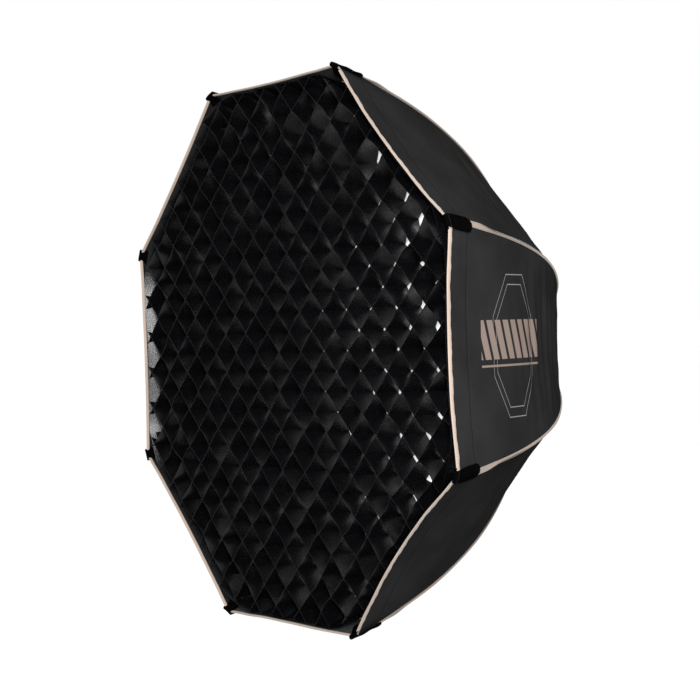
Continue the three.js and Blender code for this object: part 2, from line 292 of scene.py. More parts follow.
# How far each panel's edge sits behind the noses of the corner caps.
RIM_SETBACKS = [0.0060, 0.0045, 0.0020, 0.0020, 0.0020, 0.0020, 0.0020, 0.0030]
# How far the middle of each panel dips between its ribs, and how far the seams lie in from their curve.
DIPS = [0.005, 0.000, 0.004, 0.005, 0.005, 0.005, 0.005, 0.005]
SEAM_PULL = 0.003
SEAM_PULL_FULL, SEAM_PULL_FADES = 0.12, 0.40  # lengths from the rim
RIPPLE_HEIGHT = 0.0016
GROOVE_DEPTH = 0.0004  # at the stitched line
PUCKER_HEIGHT = 0.00025
CREASE_HEIGHT = 0.0009
DRAG_HEIGHT = 0.0013
DRAG_START, DRAG_GROWTH = 0.16, 0.12  # back from the rim
DRAG_PERIODS = (0.031, 0.052)
BOW_REACH = 0.15


def ripple(panel, s, x, count=5, long=0.16):
    """Slow unevenness of about a millimetre, different on each panel."""
    mix = random.Random(40 + panel)
    total = 0
    for _ in range(count):
        ks, kx = mix.uniform(0.6, 2.2) / long, mix.uniform(0.5, 2.0) / long
        phase, lean = mix.uniform(0, 6.28), mix.choice((-1, 1))
        total = total + np.sin(2 * math.pi * (ks * s + lean * kx * x * 0.17) + phase)
    return total / count


def seam_pull(s):
    """How far the seams and the cloth between them lie in from the solved curve."""
    grown = smooth_step(s / SEAM_PULL_FULL)
    return -SEAM_PULL * grown * (1 - smooth_step((s - SEAM_PULL_FADES) / 0.12))


def cloth_offset(panel, s, x):
    """How far the cloth stands out from the flat panel. x runs from -1 at one rib to 1 at the next."""
    panel = panel % SIDES
    free = 1 - x**2
    wide = x * np.abs(x)  # level at the middle of the panel, where its two halves meet
    bow = -RIM_BOWS[panel] * free * np.exp(-((s / BOW_REACH) ** 1.6))
    saddle = -DIPS[panel] * free * np.sin(math.pi * np.clip(s / PANEL_LINE.end, 0, 1) ** 1.4) ** 2
    slow = RIPPLE_HEIGHT * ripple(panel, s, wide) * free
    groove = -GROOVE_DEPTH * np.exp(-(((s - LIP) / 0.0022) ** 2)) * free**0.5
    near_stitches = np.exp(-np.abs(s - LIP) / 0.012)
    pucker = PUCKER_HEIGHT * near_stitches * np.sin(wide * 55 + 3 * np.sin(wide * 9 + panel)) * free
    rear = np.clip((s - DRAG_START) / DRAG_GROWTH, 0, 1)
    drag = np.sin(2 * math.pi * s / DRAG_PERIODS[0] + 2.2 * np.sin(wide * 2.1 + panel)) * free
    drag += 0.8 * np.sin(2 * math.pi * s / DRAG_PERIODS[1] + 1.5 * np.sin(wide * 1.3 + 2 * panel) + 1) * free
    at_corner = np.exp(-(((1 - np.abs(x)) / 0.30) ** 2)) * np.exp(-(((s - 0.06) / 0.045) ** 2))
    crease = CREASE_HEIGHT * at_corner * np.sin(26 * (np.abs(x) - 1) - 60 * s) * free**0.5
    shape = seam_pull(s) + bow + saddle + slow
    return shape + groove + pucker + crease + DRAG_HEIGHT * rear * drag


def panel_points(panel, s, x, lift=0.0):
    """Points of the panel at azimuth panel * 45 degrees, lifted off the cloth's outer face."""
    s, x = np.broadcast_arrays(np.asarray(s, float), np.asarray(x, float))
    outwards, tangent = spoke(panel * 2 * HALF_SIDE)
    p, normal, _ = PANEL_LINE.at(s)
    off = cloth_offset(panel, s, x) + lift
    rho = p[..., 0] + off * normal[..., 0]
    y = p[..., 1] + off * normal[..., 1]
    tau = x * p[..., 0] * math.tan(HALF_SIDE)
    return rho[..., None] * outwards + y[..., None] * BACK + tau[..., None] * tangent


def along_panel(panel, s, x):
    """The direction back along the cloth, at the rim."""
    ahead = panel_points(panel, s + 0.002, x)
    return unit(ahead - panel_points(panel, s, x))


def cloth_rows(panel):
    """Lengths from the rim at which a panel has a row of points: close at the stitched line."""
    near = list(np.linspace(RIM_SETBACKS[panel % SIDES], LIP - 0.005, 8))
    stitch = [LIP - 0.002, LIP - 0.001, LIP, LIP + 0.001, LIP + 0.002, LIP + 0.004, LIP + 0.008]
    rest = np.linspace(LIP + 0.014, PANEL_LINE.end, 78)
    return np.array(near + stitch + list(rest))


CLOTH_COLS = 26


# ---- materials
def new_material(name):
    """A new material, its node tree and its shader."""
    material = bpy.data.materials.new(name)
    material.use_nodes = True
    tree = material.node_tree
    tree.nodes.clear()
    out = tree.nodes.new("ShaderNodeOutputMaterial")
    shader = tree.nodes.new("ShaderNodeBsdfPrincipled")
    tree.links.new(shader.outputs[0], out.inputs[0])
    return material, tree, shader


def math_node(tree, operation, a, b=None, c=None):
    node = tree.nodes.new("ShaderNodeMath")
    node.operation = operation
    for socket, value in zip(node.inputs, (a, b, c)):
        if value is None:
            continue
        if isinstance(value, (int, float)):
            socket.default_value = value
        else:
            tree.links.new(value, socket)
    return node.outputs[0]


def noise_node(tree, vector, scale, detail=3.0, rough=0.55):
    node = tree.nodes.new("ShaderNodeTexNoise")
    node.inputs["Scale"].default_value = scale
    node.inputs["Detail"].default_value = detail
    node.inputs["Roughness"].default_value = rough
    tree.links.new(vector, node.inputs["Vector"])
    return node.outputs["Fac"]


def mapped(tree, value, low, high, out_low, out_high):
    node = tree.nodes.new("ShaderNodeMapRange")
    for socket, number in zip(list(node.inputs)[1:5], (low, high, out_low, out_high)):
        socket.default_value = number
    tree.links.new(value, node.inputs[0])
    return node.outputs[0]


def mix_colour(tree, factor, a, b):
    node = tree.nodes.new("ShaderNodeMix")
    node.data_type = "RGBA"
    if isinstance(factor, (int, float)):
        node.inputs[0].default_value = factor
    else:
        tree.links.new(factor, node.inputs[0])
    for socket, value in ((node.inputs[6], a), (node.inputs[7], b)):
        if isinstance(value, (tuple, list)):
            socket.default_value = (*value, 1.0)
        else:
            tree.links.new(value, socket)
    return node.outputs[2]


def uneven(tree, factor, colour, vary, wear=0.0):
    """A colour that wanders between a darker and a lighter one."""
    dark = tuple(c * (1 - vary) for c in colour)
    light = tuple(min(1.0, c * (1 + vary) + wear) for c in colour)
    return mix_colour(tree, factor, dark, light)


def flat_vector(tree):
    node = tree.nodes.new("ShaderNodeUVMap")
    node.uv_map = "flat"
    return node.outputs[0]


def object_vector(tree):
    return tree.nodes.new("ShaderNodeTexCoord").outputs["Object"]


def weave_height(tree, vector, period):
    """A plain weave's height, 0 to 1, with threads of this period in metres."""
    turns = []
    for direction in ("X", "Y"):
        wave = tree.nodes.new("ShaderNodeTexWave")
        wave.bands_direction = direction
        wave.inputs["Scale"].default_value = 2 * math.pi / (20 * period)
        wave.inputs["Distortion"].default_value = 0.4
        tree.links.new(vector, wave.inputs["Vector"])
        turns.append(wave.outputs["Fac"])
    return math_node(tree, "MULTIPLY", turns[0], turns[1])


def bump(tree, shader, height, distance):
    node = tree.nodes.new("ShaderNodeBump")
    node.inputs["Distance"].default_value = distance
    tree.links.new(height, node.inputs["Height"])
    tree.links.new(node.outputs[0], shader.inputs["Normal"])


def cloth_material(name, colour, period=0.0009, rough=0.6, sheen=0.1, vary=0.25, depth=0.00008,
                   specular=0.4, marks=None, metallic=0.0):
    """Woven cloth, with uneven colour and roughness. marks adds printed or sewn marks to it."""
    material, tree, shader = new_material(name)
    vector = flat_vector(tree)
    weave = weave_height(tree, vector, period)
    slow = noise_node(tree, vector, 9.0, 4.0)
    fine = noise_node(tree, vector, 260.0, 2.0)
    base = uneven(tree, mapped(tree, slow, 0.3, 0.7, 0, 1), colour, vary)
    threads = mapped(tree, weave, 0.0, 1.0, 0.82, 1.06)
    scale = tree.nodes.new("ShaderNodeVectorMath")
    scale.operation = "SCALE"
    tree.links.new(base, scale.inputs[0])
    tree.links.new(threads, scale.inputs["Scale"])
    result = scale.outputs[0]
    if marks:
        result = marks(tree, vector, result)
    tree.links.new(result, shader.inputs["Base Color"])
    tree.links.new(mapped(tree, fine, 0.2, 0.8, rough - 0.07, rough + 0.07), shader.inputs["Roughness"])
    shader.inputs["Specular IOR Level"].default_value = specular
    shader.inputs["Sheen Weight"].default_value = sheen
    shader.inputs["Sheen Roughness"].default_value = 0.4
    shader.inputs["Metallic"].default_value = metallic
    bump(tree, shader, weave, depth)
    return material


def hard_material(name, colour, rough, metallic=0.0, grain=900.0, depth=0.00004, vary=0.2, wear=0.0):
    """Moulded plastic or metal with a fine grain and a little handling wear."""
    material, tree, shader = new_material(name)
    vector = object_vector(tree)
    fine = noise_node(tree, vector, grain, 2.0)
    slow = noise_node(tree, vector, 22.0, 4.0)
    base = uneven(tree, mapped(tree, slow, 0.35, 0.7, 0, 1), colour, vary, wear)
    tree.links.new(base, shader.inputs["Base Color"])
    tree.links.new(mapped(tree, slow, 0.3, 0.7, rough - 0.08, rough + 0.08), shader.inputs["Roughness"])
    shader.inputs["Metallic"].default_value = metallic
    bump(tree, shader, fine, depth)
    return material


def add_glow(material, strength):
    """A faint white glow with no lamp behind it: painted light on the diffusers, even brightness on the
    floor.
    """
    shader = material.node_tree.nodes["Principled BSDF"]
    shader.inputs["Emission Color"].default_value = (1, 1, 1, 1)
    shader.inputs["Emission Strength"].default_value = strength


def brushed_material(name, colour, rough):
    """Turned or drawn metal: fine lines round the part."""
    material, tree, shader = new_material(name)
    vector = object_vector(tree)
    stretch = tree.nodes.new("ShaderNodeMapping")
    stretch.inputs["Scale"].default_value = (60, 2500, 60)
    tree.links.new(vector, stretch.inputs["Vector"])
    lines = noise_node(tree, stretch.outputs[0], 1.0, 3.0)
    tint = tuple(c * 0.8 for c in colour)
    tree.links.new(mix_colour(tree, lines, tint, colour), shader.inputs["Base Color"])
    tree.links.new(mapped(tree, lines, 0.3, 0.7, rough - 0.1, rough + 0.1), shader.inputs["Roughness"])
    shader.inputs["Metallic"].default_value = 1.0
    bump(tree, shader, lines, 0.00002)
    return material


# The print on the panel at azimuth 0: slanted tan bars over a rule, and two thin grey octagons behind them.
PRINT_FROM, PRINT_TO = 0.085, 0.262  # back from the rim
BAR_LOW, BAR_HIGH = -0.018, 0.037
BAR_PERIOD, BAR_WIDTH, BAR_SLANT = 0.0222, 0.0155, 0.35
RULE_LOW, RULE_HIGH = -0.0285, -0.0255
OUTLINE_AT, OUTLINE_R, OUTLINE_SQUEEZE = 0.180, 0.100, 0.62
OUTLINE_WIDTH = 0.0012
TAN = (0.123, 0.095, 0.081)
PRINT_GREY = (0.13, 0.13, 0.135)
# the stitched line's dark band: its thread, and painted shade standing in for its shallow groove
DARK_LINE_HALF, STITCH_AND_GROOVE_SHADE_COLOUR = 0.0005, (0.003, 0.003, 0.003)


def band(tree, value, low, high, soft=0.0003):
    """1 between low and high, else 0."""
    up = mapped(tree, value, low - soft, low + soft, 0, 1)
    down = mapped(tree, value, high - soft, high + soft, 1, 0)
    return math_node(tree, "MULTIPLY", up, down)


def split_flat(tree, vector):
    """The two parts of a flat position: on a panel, across it and back from the rim."""
    split = tree.nodes.new("ShaderNodeSeparateXYZ")
    tree.links.new(vector, split.inputs[0])
    return split.outputs[0], split.outputs[1]


def octagon_size(tree, across, back):
    """The inner radius of the tall octagon that each point lies on."""
    x = math_node(tree, "SUBTRACT", back, OUTLINE_AT)
    x = math_node(tree, "ABSOLUTE", math_node(tree, "DIVIDE", x, OUTLINE_SQUEEZE))
    y = math_node(tree, "ABSOLUTE", across)
    slant = math_node(tree, "MULTIPLY", math_node(tree, "ADD", x, y), math.sqrt(0.5))
    return math_node(tree, "MAXIMUM", math_node(tree, "MAXIMUM", x, y), slant)


def stitches_and_groove_shade(tree, vector, base):
    """The stitched line parallel to the rim, painted dark for its thread and as painted shade in its groove.
    """
    _, back = split_flat(tree, vector)
    line = band(tree, back, LIP - DARK_LINE_HALF, LIP + DARK_LINE_HALF)
    return mix_colour(tree, line, base, STITCH_AND_GROOVE_SHADE_COLOUR)


def printed_marks(tree, vector, base):
    across, back = split_flat(tree, vector)
    result = stitches_and_groove_shade(tree, vector, base)
    size = octagon_size(tree, across, back)
    for scale in (1.0, 0.86):
        line = band(tree, size, OUTLINE_R * scale, OUTLINE_R * scale + OUTLINE_WIDTH)
        result = mix_colour(tree, line, result, PRINT_GREY)
    slanted = math_node(tree, "MULTIPLY_ADD", across, BAR_SLANT, back)
    phase = math_node(tree, "FLOORED_MODULO", slanted, BAR_PERIOD)
    bars = band(tree, phase, 0.001, 0.001 + BAR_WIDTH)
    bars = math_node(tree, "MULTIPLY", bars, band(tree, across, BAR_LOW, BAR_HIGH))
    rule = band(tree, across, RULE_LOW, RULE_HIGH)
    tan_area = math_node(tree, "MAXIMUM", bars, rule)
    length = band(tree, back, PRINT_FROM, PRINT_TO)
    return mix_colour(tree, math_node(tree, "MULTIPLY", tan_area, length), result, TAN)


def stitch_marks(place, length=0.0034, gap=0.0012, width=0.0006, colour=(0.30, 0.24, 0.20)):
    """A row of stitches along UV x, at this distance in UV y."""

    def marks(tree, vector, base):
        along, across = split_flat(tree, vector)
        off = math_node(tree, "SUBTRACT", across, place)
        row = mapped(tree, math_node(tree, "ABSOLUTE", off), width * 0.4, width, 1, 0)
        phase = math_node(tree, "FLOORED_MODULO", along, length + gap)
        dash = mapped(tree, phase, length - 0.0003, length, 1, 0)
        here = math_node(tree, "MULTIPLY", row, dash)
        return mix_colour(tree, here, base, colour)

    return marks


NYLON_COLOUR = (0.0126, 0.0126, 0.0129)
NYLON = cloth_material(
    "canopy_nylon", NYLON_COLOUR, rough=0.6, sheen=0.0, specular=0.0, marks=stitches_and_groove_shade
)
NYLON_PRINTED = cloth_material(
    "canopy_nylon_printed", NYLON_COLOUR, rough=0.6, sheen=0.0, specular=0.0, marks=printed_marks
)
SILVER = cloth_material(
    "silver_lining", (0.62, 0.62, 0.63), period=0.0012, rough=0.35, sheen=0.0, metallic=0.8, vary=0.08
)
LOOP_TAPE = cloth_material(
    "loop_tape", (0.0035, 0.0035, 0.0035), period=0.0016, rough=0.95, sheen=0.03, specular=0.1, depth=0.0003
)
BINDING = cloth_material(
    "tan_binding", (0.232, 0.182, 0.148), period=0.0011, rough=0.8, sheen=0.1, vary=0.08, depth=0.00012,
    marks=stitch_marks(0.004),
)
SEAM_BINDING = cloth_material(
    "tan_seam_binding", (0.165, 0.130, 0.107), period=0.0011, rough=0.8, sheen=0.1, vary=0.12, depth=0.00012,
    marks=stitch_marks(0.004, colour=(0.20, 0.16, 0.135)),
)
# painted shade: a dark brown-grey for the leaves' faces that look into the gap between them, where shade
# falls
SEAM_GAP_SHADE = cloth_material("seam_gap_painted_shade", (0.012, 0.010, 0.009), rough=0.85, sheen=0.02, specular=0.2)
WEBBING_BLACK = cloth_material(
    "webbing", (0.0010, 0.0010, 0.0011), period=0.0019, rough=0.75, sheen=0.0, specular=0.0, depth=0.0003,
    marks=stitch_marks(0.0, colour=(0.012, 0.012, 0.012)),
)
GRID_CLOTH = cloth_material(
    "grid_cloth", (0.0013, 0.0013, 0.0016), period=0.0010, rough=0.25, sheen=0.0, specular=0.20
)
DIFFUSER_PAINTED_GLOW = cloth_material(
    "diffuser_cloth", (0.90, 0.90, 0.89), period=0.0008, rough=0.9, sheen=0.05, vary=0.02, depth=0.00005
)
# painted light: the diffusers glow faintly white with no lamp lit inside the softbox, so they show white
# through the grid's cells
add_glow(DIFFUSER_PAINTED_GLOW, 0.35)
BLACK_PLASTIC = hard_material("black_plastic", (0.012, 0.0115, 0.011), 0.5)
KNOB_PLASTIC = hard_material("knob_plastic", (0.016, 0.011, 0.009), 0.38, grain=500.0)
ALUMINIUM = hard_material("black_aluminium", (0.03, 0.03, 0.033), 0.36, metallic=0.9, grain=1400.0, wear=0.02)
STEEL = brushed_material("steel", (0.60, 0.60, 0.61), 0.3)
FIBREGLASS = hard_material("fibreglass", (0.02, 0.02, 0.024), 0.32, grain=300.0)


# ---- canopy
def follow_pleat(piece):
    """Cloth that leaves its rib, with its placement baked into its mesh."""
    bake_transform(piece)


def half_range(letter, count):
    """x across the panel for one half: -1 at its rib to 0 in the middle, or the other way round."""
    x = np.linspace(0, 1, count)
    return -x[::-1] if letter == "a" else x


def make_half_panel(number, letter):
    """One half of a panel, nylon outside, silver lining inside and a black lip along the rim."""
    panel = number if letter == "a" else number - 1
    s = cloth_rows(panel)[:, None]
    x = half_range(letter, CLOTH_COLS)[None, :]
    outer = panel_points(panel, s, x)
    inner = panel_points(panel, s, x, -CLOTH)
    across = x * PANEL_LINE.at(s)[0][..., 0] * math.tan(HALF_SIDE)
    uv = np.stack(np.broadcast_arrays(across, s), -1)
    lip_rows = int(np.searchsorted(s[:, 0], LIP))
    nylon = NYLON_PRINTED if panel % SIDES == 0 else NYLON
    name = f"canopy_{number}_{letter}"
    piece = slab_object(
        name, outer, inner, uv, [nylon, SILVER, LOOP_TAPE],
        lambda i, j, inside: (2 if i < lip_rows else 1) if inside else 0,
    )
    follow_pleat(piece)
    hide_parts(f"panel_{number}_{letter}")


RIM_TAPE = [  # the rim tape's section: back along the cloth, and out from it, in millimetres
    (6.0, 0.10), (5.8, 0.50), (4.0, 0.75), (1.6, 0.80), (0.3, 0.55), (-0.5, 0.05), (-0.8, -0.55),
    (-0.5, -1.15), (0.3, -1.65), (1.6, -1.85), (3.2, -1.85), (3.9, -1.60), (4.0, -1.20),
]


def make_rim_tape(number, letter):
    """The tan tape folded over the rim edge of half a panel."""
    panel = number if letter == "a" else number - 1
    x = half_range(letter, 44)
    setback = RIM_SETBACKS[panel % SIDES]
    base = panel_points(panel, setback, x)
    along = along_panel(panel, setback, x)
    outwards, tangent = spoke(panel * 2 * HALF_SIDE)
    normal = unit(np.cross(np.broadcast_to(tangent, along.shape), along))
    normal *= np.sign(normal @ outwards)[:, None]
    wobble = 0.00035 * np.sin(x * 23 + panel) + 0.00025 * np.sin(x * 61 + 2 * panel)
    section = np.array(RIM_TAPE) / 1000
    sections = (
        base[:, None]
        + along[:, None] * section[None, :, :1]
        + normal[:, None] * (section[None, :, 1:] + wobble[:, None, None] * (section[None, :, :1] > 0.004))
    )
    piece = sweep_object(f"rim_tape_{number}_{letter}", sections, [BINDING])
    follow_pleat(piece)


# ---- bound seams over the ribs
LEAF_HEIGHT = 0.0070
LEAF_START = 0.052
LEAF_LOSS = 0.54  # share of its height that a leaf loses behind the cap
LEAF_LEAN, LEAF_LEAN_REAR, LEAF_SPREAD = math.radians(24), math.radians(38), math.radians(13)
LEAF_HALF_THICKNESS = 0.0008
# A leaf's section, in shares of its height and of its half thickness.
LEAF_SECTION = [
    (-0.10, -0.5), (0.5, -0.6), (0.88, -0.75), (1.0, -0.4), (1.0, 0.4), (0.88, 0.75), (0.5, 0.6),
    (-0.10, 0.5),
]


def leaf_lean(s, side, number):
    """How far a leaf of the seam leans from upright: pressed flat at the cap, then standing up."""
    flat_side = 1 if number % 2 else -1
    pressed = smooth_step(1 - (s - LEAF_START) / 0.075)
    settled = smooth_step((s - 0.16) / 0.14)
    lean = LEAF_LEAN + LEAF_LEAN_REAR * settled
    upright = side * LEAF_SPREAD + flat_side * lean + 0.10 * np.sin(s * 37 + number * 1.7)
    flat = flat_side * math.radians(80) + side * math.radians(3)
    return flat * pressed + upright * (1 - pressed)


def make_seam(number):
    """Two bound leaves that stand along the seam over a rib, one from each panel."""
    outwards, tangent = spoke(rib_azimuth(number))
    s = np.linspace(LEAF_START, RIB_LINE.end + 0.004, 110)
    p, normal, _ = RIB_LINE.at(s)
    up = in_plane(normal, outwards)
    base = in_plane(p, outwards) + seam_pull(s)[:, None] * up
    parts = []
    for side in (-1, 1):
        lean = leaf_lean(s, side, number)[:, None]
        rise = up * np.cos(lean) + tangent * np.sin(lean)
        across = -up * np.sin(lean) + tangent * np.cos(lean)
        root = base + side * 0.0006 * tangent + up * 0.0002
        h = LEAF_HEIGHT * (1 + 0.05 * np.sin(s * 51 + side * 2 + number))
        h = (h * (1 - LEAF_LOSS * smooth_step((s - 0.065) / 0.055)))[:, None]
        ring = [root + rise * h * a + across * LEAF_HALF_THICKNESS * b for a, b in LEAF_SECTION]
        sections = np.stack(ring, 1)
        # painted shade: the faces of each leaf that face the other leaf take the dark material
        inner_faces = (5, 6) if side < 0 else (0, 1)
        parts.append(
            sweep_object(
                f"leaf_{side}", sections, [SEAM_BINDING, SEAM_GAP_SHADE],
                slot_of=lambda n, dark=inner_faces: 1 if n in dark else 0,
            )
        )
    piece = joined(f"seam_binding_{number}", parts)
    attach(piece, f"rib_{number}")


# ---- corner caps
CAP_LIFT = 0.0016  # from the canopy to the middle of the strap
CAP_BUCKLE = 0.0005
CAP_NOSE, CAP_NOSE_REACH = 0.005, 0.0044  # where the strap starts to turn, and how far it then goes


def cap_path():
    """The strap's centre line in the rib's plane, as distances out from the canopy and back along it."""
    outer = [(CAP_LIFT, b) for b in np.linspace(CAP_LENGTH, CAP_NOSE, 24)]
    radius = (CAP_NOSE_DEPTH + CAP_LIFT) / 2
    turn = np.linspace(0, math.pi, 13)[1:-1]
    nose = [
        (CAP_LIFT - radius + radius * math.cos(a), CAP_NOSE - CAP_NOSE_REACH * math.sin(a)) for a in turn
    ]
    inner = []
    for b in np.linspace(CAP_NOSE, CAP_INNER_LENGTH, 16):
        ease = smooth_step((b - CAP_NOSE) / 0.016)
        inner.append((-CAP_NOSE_DEPTH - (CAP_DEPTH - CAP_NOSE_DEPTH) * ease, b))
    return np.array(outer + nose + inner)


def make_cap(number):
    """A webbing strap folded over the rim's corner, rounded at its outer end and pinched at the nose."""
    outwards, tangent = spoke(rib_azimuth(number))
    path = cap_path()
    along = np.r_[0, np.cumsum(np.linalg.norm(np.diff(path, axis=0), axis=1))]
    total = along[-1]
    v = np.linspace(-1, 1, 15)
    round_end = np.clip(along / 0.008, 0, 1)
    half = CAP_WIDTH / 2 * (0.55 + 0.45 * np.sqrt(1 - (1 - round_end) ** 2))
    half = half * (1 - 0.16 * np.exp(-(((along - CAP_LENGTH) / 0.012) ** 2)))
    corner, up, rear = [in_plane(v[0], outwards) for v in RIB_LINE.at(np.zeros(1))]
    tau = half[:, None] * v[None, :]
    fold = np.clip(1 - np.arange(len(path)) / 26, 0, 1)[:, None]
    drop = (np.sqrt(tau**2 + 0.004**2) - 0.004) * math.tan(HALF_SIDE) * fold**0.5
    buckle = CAP_BUCKLE * np.sin(along[:, None] * 210 + number) * (1 - v[None, :] ** 2)
    line = unit(np.gradient(path, axis=0))
    facing = np.stack([-line[:, 1], line[:, 0]], -1)

    def layer(offset):
        n = path[:, :1] - drop + (buckle + offset) * facing[:, :1]
        b = path[:, 1:] + (buckle + offset) * facing[:, 1:] + 0 * tau
        return corner + n[..., None] * up + b[..., None] * rear + tau[..., None] * tangent

    uv = np.stack(np.broadcast_arrays(tau, along[:, None] - total / 2), -1)
    piece = slab_object(
        f"corner_strap_{number}", layer(WEBBING / 2), layer(-WEBBING / 2), uv, [WEBBING_BLACK]
    )
    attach(piece, f"rib_{number}")
    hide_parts(f"corner_cap_{number}")


# ---- grid
GRID_LOW, GRID_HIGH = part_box("grid")
GRID_FLAT = GRID_HIGH.x
GRID_CORNER = 0.420
GRID_GAP = 0.005  # from the grid to the canopy's inside
CALM_SHIFT, BORDER_SHIFT = 0.0011, 0.0048  # of a crossing, and how much more at the border
SHIFT_REACH, BULGE_REACH = 0.74, 0.62  # shares of the grid's width where the border's unevenness starts
WALL_BULGES = (0.0018, 0.0045, 0.0065)  # at a wall's front, middle and rear
BORDER_BULGE = 2.6
GRID_FRONT = GRID_LOW.y + 0.0005
GRID_REAR = GRID_FRONT + 0.0415


def inside_outline(y, gap, cut, steps=16):
    """Points in X and Z round the inside of the canopy at one depth, with its corners cut to a radius."""
    s = np.linspace(0, PANEL_LINE.end, 300)
    points = []
    for panel in range(SIDES):
        outwards, _ = spoke(panel * 2 * HALF_SIDE)
        for x in np.linspace(-1, 1, steps, endpoint=False):
            line = panel_points(panel, s, x, -CLOTH)
            point = np.array([np.interp(y, line[:, 1], line[:, k]) for k in (0, 2)])
            point -= gap * outwards[[0, 2]]
            points.append(point * min(1.0, cut / np.linalg.norm(point)))
    return np.array(points)


GRID_OUTLINES = [
    inside_outline(GRID_FRONT, GRID_GAP, GRID_CORNER + 0.004),
    inside_outline(GRID_REAR, GRID_GAP, GRID_CORNER - 0.004),
]


def strip_ends(offset, way, across, outline):
    """Where the grid strip at this distance from the middle meets an outline."""
    beside = outline @ across - offset
    along = outline @ way
    ends = []
    for n in range(len(outline)):
        m = (n + 1) % len(outline)
        if (beside[n] < 0) != (beside[m] < 0):
            share = beside[n] / (beside[n] - beside[m])
            ends.append(along[n] + share * (along[m] - along[n]))
    return min(ends), max(ends)


def crossing_shift(i, j, turn):
    """How far crossing j of strip i has moved, along X and Z: more near the border."""
    if turn < 0:
        i, j = -j, i  # the same crossing, named from the strips that go the other way
    mix = random.Random(1000 * (i + 50) + (j + 50))
    reach = math.hypot(i, j) * GRID_PITCH / GRID_FLAT
    size = CALM_SHIFT + BORDER_SHIFT * max(0.0, reach - SHIFT_REACH) / (1 - SHIFT_REACH)
    return np.array([mix.uniform(-1, 1), mix.uniform(-1, 1)]) * size


def wall_bulge(i, j, turn):
    """How far a wall bulges at its front, middle and rear edge, in metres."""
    mix = random.Random(7919 * (i + 50) + 31 * (j + 50) + (5 if turn > 0 else 3))
    reach = math.hypot(i, j) * GRID_PITCH / GRID_FLAT
    size = 1 + BORDER_BULGE * max(0.0, reach - BULGE_REACH)
    return [bulge * size * mix.uniform(-1, 1) for bulge in WALL_BULGES]


def make_strip(i, turn):
    """One strip of the grid, 45 degrees one way or the other, as a thin slab with a hemmed front."""
    offset = i * GRID_PITCH
    way = np.array([math.cos(math.pi / 4), turn * math.sin(math.pi / 4)])
    across = np.array([-way[1], way[0]])
    front_first, front_last = strip_ends(offset, way, across, GRID_OUTLINES[0])
    first, last = strip_ends(offset, way, across, GRID_OUTLINES[1])
    count = max(2, int(round((last - first) / (GRID_PITCH / GRID_STEPS))))
    a = np.linspace(first, last, count + 1)
    depth = np.array([0.0, 0.03, 0.07, 0.25, 0.45, 0.65, 0.85, 1.0])
    hem = np.array([0.20, 0.30, 0.25, 0.20, 0.20, 0.20, 0.20, 0.20]) / 1000
    centre = np.zeros((len(a), len(depth), 2))
    for n, place in enumerate(a):
        j = math.floor(place / GRID_PITCH)
        u = place / GRID_PITCH - j
        shift = (1 - u) * crossing_shift(i, j, turn) + u * crossing_shift(i, j + 1, turn)
        front, middle, rear = wall_bulge(i, j, turn)
        shape = front * (1 - depth) + rear * depth + (middle - (front + rear) / 2) * 4 * depth * (1 - depth)
        swell = shape * math.sin(math.pi * u) ** 1.3
        shift = shift * smooth_step(min(last - place, place - first) / GRID_PITCH)
        slide = (front_last - last) * smooth_step(1 - (last - place) / GRID_PITCH)
        slide += (front_first - first) * smooth_step(1 - (place - first) / GRID_PITCH)
        spread = (place + slide * (1 - depth))[:, None] * way
        centre[n] = spread + offset * across + shift + swell[:, None] * across
    y = GRID_FRONT + depth * (GRID_REAR - GRID_FRONT)

    def layer(sign):
        flat = centre + sign * hem[None, :, None] * across
        made = np.zeros((len(a), len(depth), 3))
        made[..., 0], made[..., 1], made[..., 2] = flat[..., 0], y, flat[..., 1]
        return made

    uv = np.stack(np.broadcast_arrays(a[:, None], y[None, :]), -1)
    return slab(layer(1), layer(-1), uv)


def flat_ring(outline):
    """Points in X and Z as points in space at Y 0."""
    return np.stack([outline[:, 0], 0 * outline[:, 0], outline[:, 1]], -1)


def make_grid():
    verts, faces, uvs = [], [], []
    count = int((GRID_CORNER - 0.012) / GRID_PITCH)
    for i in range(-count, count + 1):
        for turn in (-1, 1):
            v, f, _, uv = make_strip(i, turn)
            first = len(verts)
            verts.extend(v)
            faces.extend([[n + first for n in face] for face in outward(v - v.mean(0), f)])
            uvs.extend(uv)
    piece = make_object("grid_strips", verts, faces, [GRID_CLOTH], None, uvs)
    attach(piece, "grid")
    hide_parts("grid")
    front, rear = [flat_ring(outline) for outline in GRID_OUTLINES]
    inwards = -unit(rear)
    wave = 0.0008 * np.sin(np.arange(len(rear)) * 0.9)[:, None] - 0.0020
    section = [(0.0, 0.02), (0.0003, 0.01), (0.0006, 0.02), (0.0010, 1.0), (0.0, 1.0)]
    deep = GRID_REAR - GRID_FRONT
    sections = np.stack(
        [
            front * (1 - b) + rear * b + inwards * (a + wave) + BACK * (GRID_FRONT + b * deep)
            for a, b in section
        ],
        1,
    )
    border = sweep_object("grid_border", sections, [GRID_CLOTH], closed_path=True)
    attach(border, "grid")


# ---- diffusers
HEM = [  # a hem's section: inwards from the sheet's edge, and back
    (0.0, -0.0010), (0.004, -0.0016), (0.014, -0.0015), (0.018, -0.0009), (0.018, 0.0009), (0.014, 0.0015),
    (0.004, 0.0016), (0.0, 0.0010),
]


